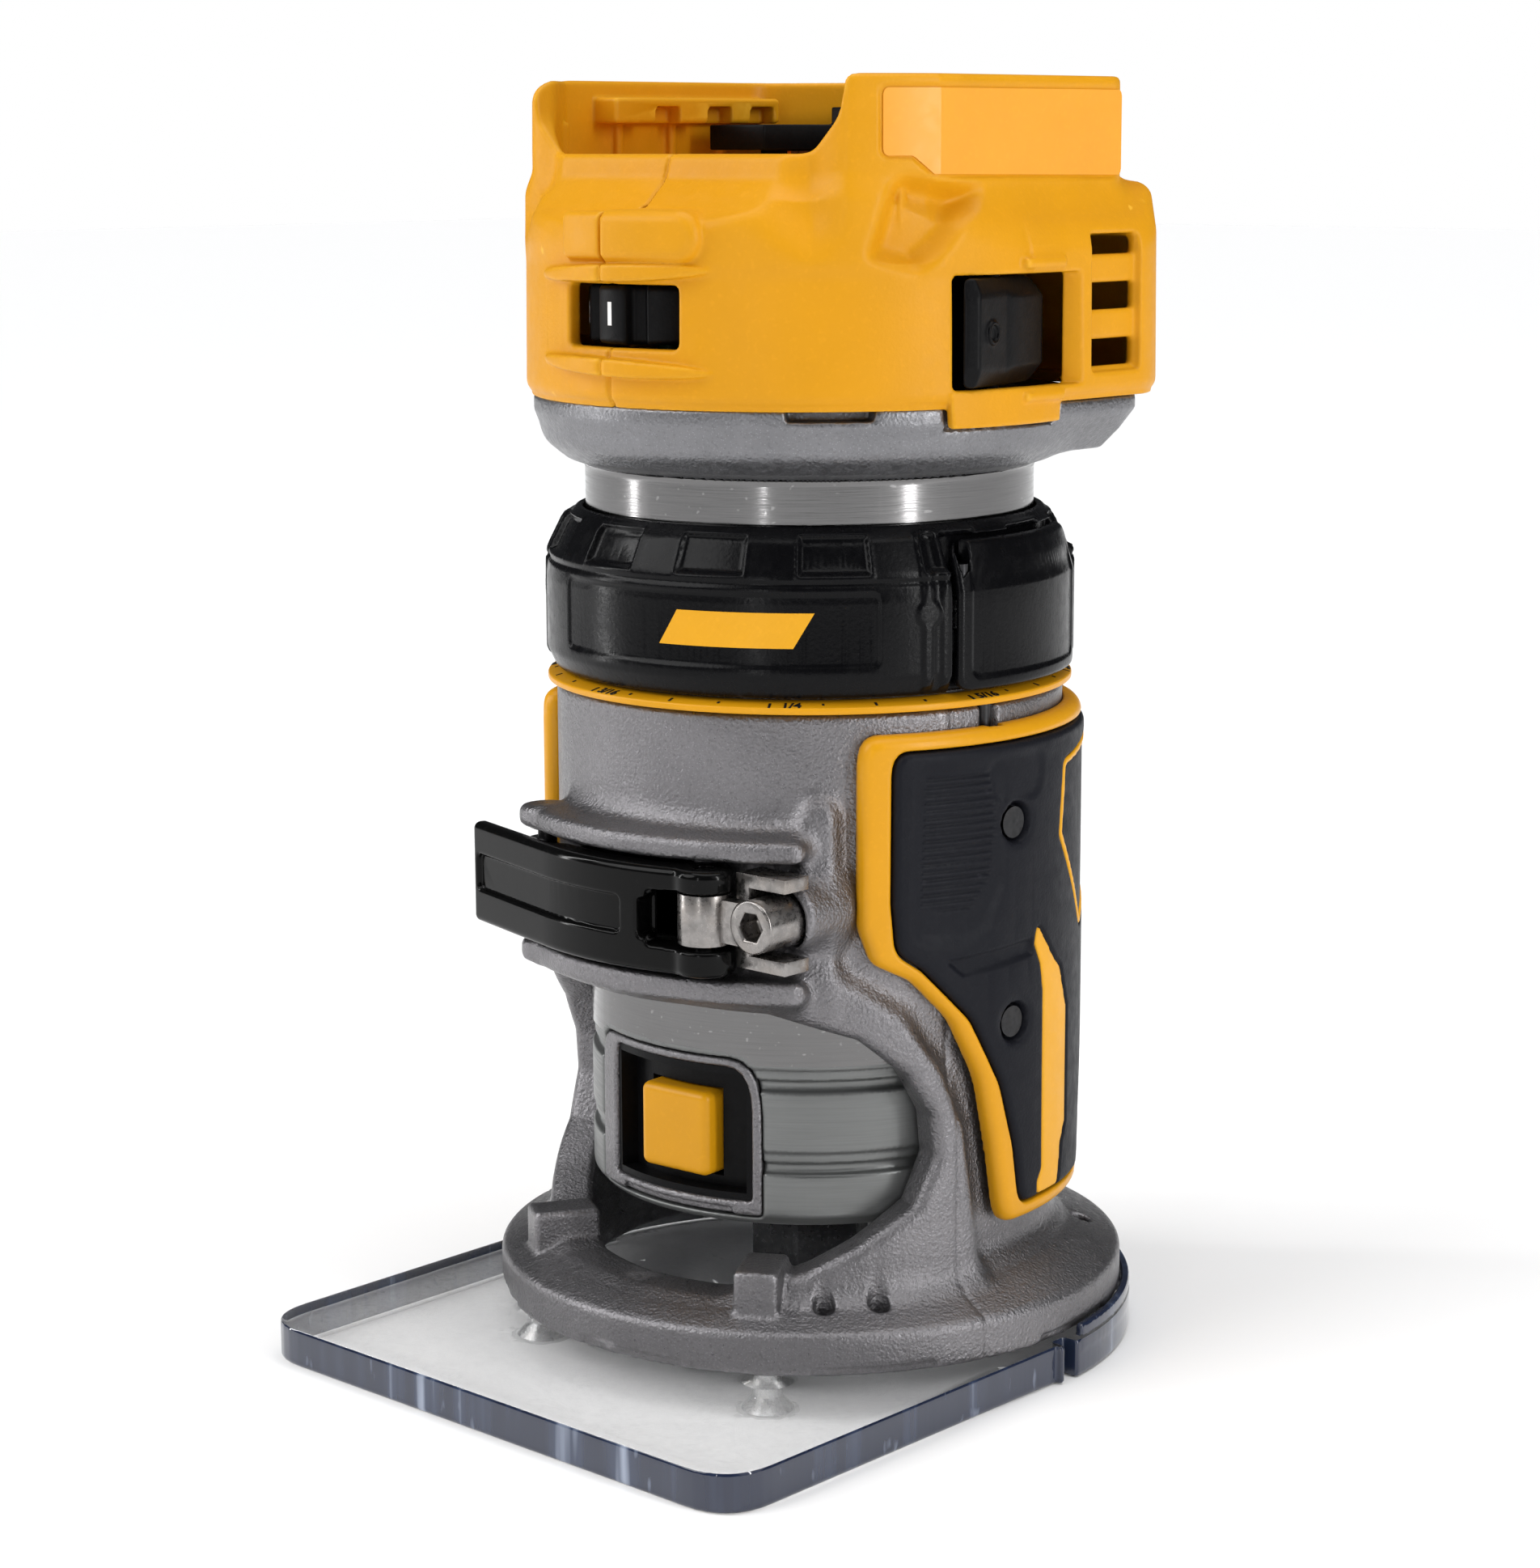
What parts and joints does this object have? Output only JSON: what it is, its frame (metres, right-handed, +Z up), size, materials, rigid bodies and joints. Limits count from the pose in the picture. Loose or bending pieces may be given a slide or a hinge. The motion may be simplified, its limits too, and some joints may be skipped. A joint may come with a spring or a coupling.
{
  "type": "trim router",
  "caption": "Compact cordless trim router: a motor unit with a top housing slides in a cast base on a clear square-fronted sub-base, with depth ring, clamp lever and side grips.",
  "frame": {"origin": "on the spindle axis at the bottom face of the sub-base", "axes": "+Z up along the spindle axis; -Y is the front, where the clamp lever, speed dial and spindle lock are; +X is the side with the power switch"},
  "size_m": [0.1032, 0.1249, 0.197],
  "materials": {
    "clear_plastic": "clear polycarbonate, polished edges",
    "steel": "bright machined steel",
    "dark_steel": "black oxide",
    "cast_aluminium": "bead-blasted casting",
    "turned_aluminium": "turned, satin",
    "yellow_plastic": "fine textured moulding",
    "black_rubber": "moulded, matte",
    "black_plastic": "fine textured moulding",
    "gloss_black": "gloss coated",
    "gunmetal": "dark nickel plate",
    "lens": "moulded lens",
    "lamination": "stamped laminations",
    "copper": "enamelled copper",
    "board": "coated circuit board",
    "label": "blank label"
  },
  "bodies": {
    "base": {"base_casting": "cast_aluminium", "sub_base_plate": "clear_plastic", "sub_base_screws": "steel", "guide_pins": "dark_steel", "right_grip_bezel": "yellow_plastic", "right_grip_pad": "black_rubber", "left_grip_bezel": "yellow_plastic", "left_grip_pad": "black_rubber", "grip_screws": "dark_steel", "clamp_yoke": "gunmetal", "lever_pin": "gunmetal", "strap_pin": "steel"},
    "clamp_lever": {"clamp_lever": "gloss_black"},
    "clamp_shoe": {"clamp_shoe": "turned_aluminium"},
    "tension_screw": {"tension_screw": "gunmetal"},
    "depth_ring": {"depth_ring": "black_plastic", "release_tab_pins": "dark_steel", "release_tab_springs": "steel"},
    "release_tab_a": {"release_tab_a": "black_plastic"},
    "release_tab_b": {"release_tab_b": "black_plastic"},
    "scale_ring": {"scale_ring": "yellow_plastic"},
    "motor": {"motor_housing": "turned_aluminium", "lower_end_plate": "cast_aluminium", "work_lights": "lens", "upper_end_plate": "cast_aluminium", "lower_bearing": "steel", "upper_bearing": "steel", "stator": "lamination", "stator_windings": "copper", "spindle_lock_frame": "cast_aluminium", "spindle_lock_liner": "black_plastic", "left_housing_shell": "yellow_plastic", "right_housing_shell": "yellow_plastic", "housing_screws": "dark_steel", "terminal_block": "black_plastic", "terminal_blades": "copper", "control_board": "board", "speed_sensor": "board", "power_switch": "black_plastic", "blank_label": "label"},
    "spindle": {"spindle_shaft": "steel", "rotor": "lamination", "cooling_fan": "black_plastic", "collet": "steel"},
    "collet_nut": {"collet_nut": "dark_steel"},
    "spindle_lock": {"spindle_lock_button": "yellow_plastic", "spindle_lock_spring": "steel"},
    "speed_dial": {"speed_dial": "black_plastic"},
    "power_rocker": {"power_rocker": "black_plastic"}
  },
  "joints": [
    {"name": "motor_slide", "type": "slide", "parent": "base", "child": "motor", "axis": [0, 0, 1], "range_m": [-0.006, 0.03]},
    {"name": "depth_ring_turn", "type": "hinge", "parent": "base", "child": "depth_ring", "pos_m": [0, 0, 0.12], "axis": [0, 0, 1], "range_deg": [-171, 851]},
    {"name": "scale_ring_turn", "type": "hinge", "parent": "depth_ring", "child": "scale_ring", "pos_m": [0, 0, 0.106], "axis": [0, 0, 1], "continuous": true},
    {"name": "release_tab_a_press", "type": "hinge", "parent": "depth_ring", "child": "release_tab_a", "pos_m": [0.03831, -0.0092, 0.118], "axis": [0, 0, 1], "range_deg": [0, 1.8], "stiffness_Nm_per_rad": 3, "springref_deg": -1.15},
    {"name": "release_tab_b_press", "type": "hinge", "parent": "depth_ring", "child": "release_tab_b", "pos_m": [-0.03831, 0.0092, 0.118], "axis": [0, 0, 1], "range_deg": [0, 1.8], "stiffness_Nm_per_rad": 3, "springref_deg": -1.15},
    {"name": "clamp_lever_swing", "type": "hinge", "parent": "base", "child": "clamp_lever", "pos_m": [0.01705, -0.04219, 0.0756], "axis": [0, 0, 1], "range_deg": [0, 110]},
    {"name": "clamp_shoe_release", "type": "hinge", "parent": "base", "child": "clamp_shoe", "pos_m": [-0.02028, -0.03814, 0.0756], "axis": [0, 0, -1], "range_deg": [0, 1]},
    {"name": "tension_screw_turn", "type": "hinge", "parent": "base", "child": "tension_screw", "pos_m": [0.027, -0.036, 0.0756], "axis": [0, -1, 0], "continuous": true},
    {"name": "spindle_spin", "type": "hinge", "parent": "motor", "child": "spindle", "pos_m": [0, 0, 0.03], "axis": [0, 0, -1], "continuous": true},
    {"name": "collet_nut_turn", "type": "hinge", "parent": "spindle", "child": "collet_nut", "pos_m": [0, 0, 0.016], "axis": [0, 0, 1], "continuous": true},
    {"name": "spindle_lock_press", "type": "slide", "parent": "motor", "child": "spindle_lock", "axis": [-0.0698, 0.9976, 0], "range_m": [0, 0.0033], "stiffness_N_per_m": 400, "springref_m": -0.002, "deforming": ["spindle_lock_spring"]},
    {"name": "speed_dial_turn", "type": "hinge", "parent": "motor", "child": "speed_dial", "pos_m": [0, -0.0306, 0.163], "axis": [0, 0, 1], "range_deg": [0, 270]},
    {"name": "power_rocker_tilt", "type": "hinge", "parent": "motor", "child": "power_rocker", "pos_m": [0.0395, -0.0042, 0.16], "axis": [0, 0, -1], "range_deg": [0, 16]}
  ],
  "couplings": [
    {"joint": "depth_ring_turn", "follows": "motor_slide", "rad_per_m": 494.74},
    {"joint": "clamp_shoe_release", "follows": "clamp_lever_swing", "ratio": 0.009091}
  ]
}
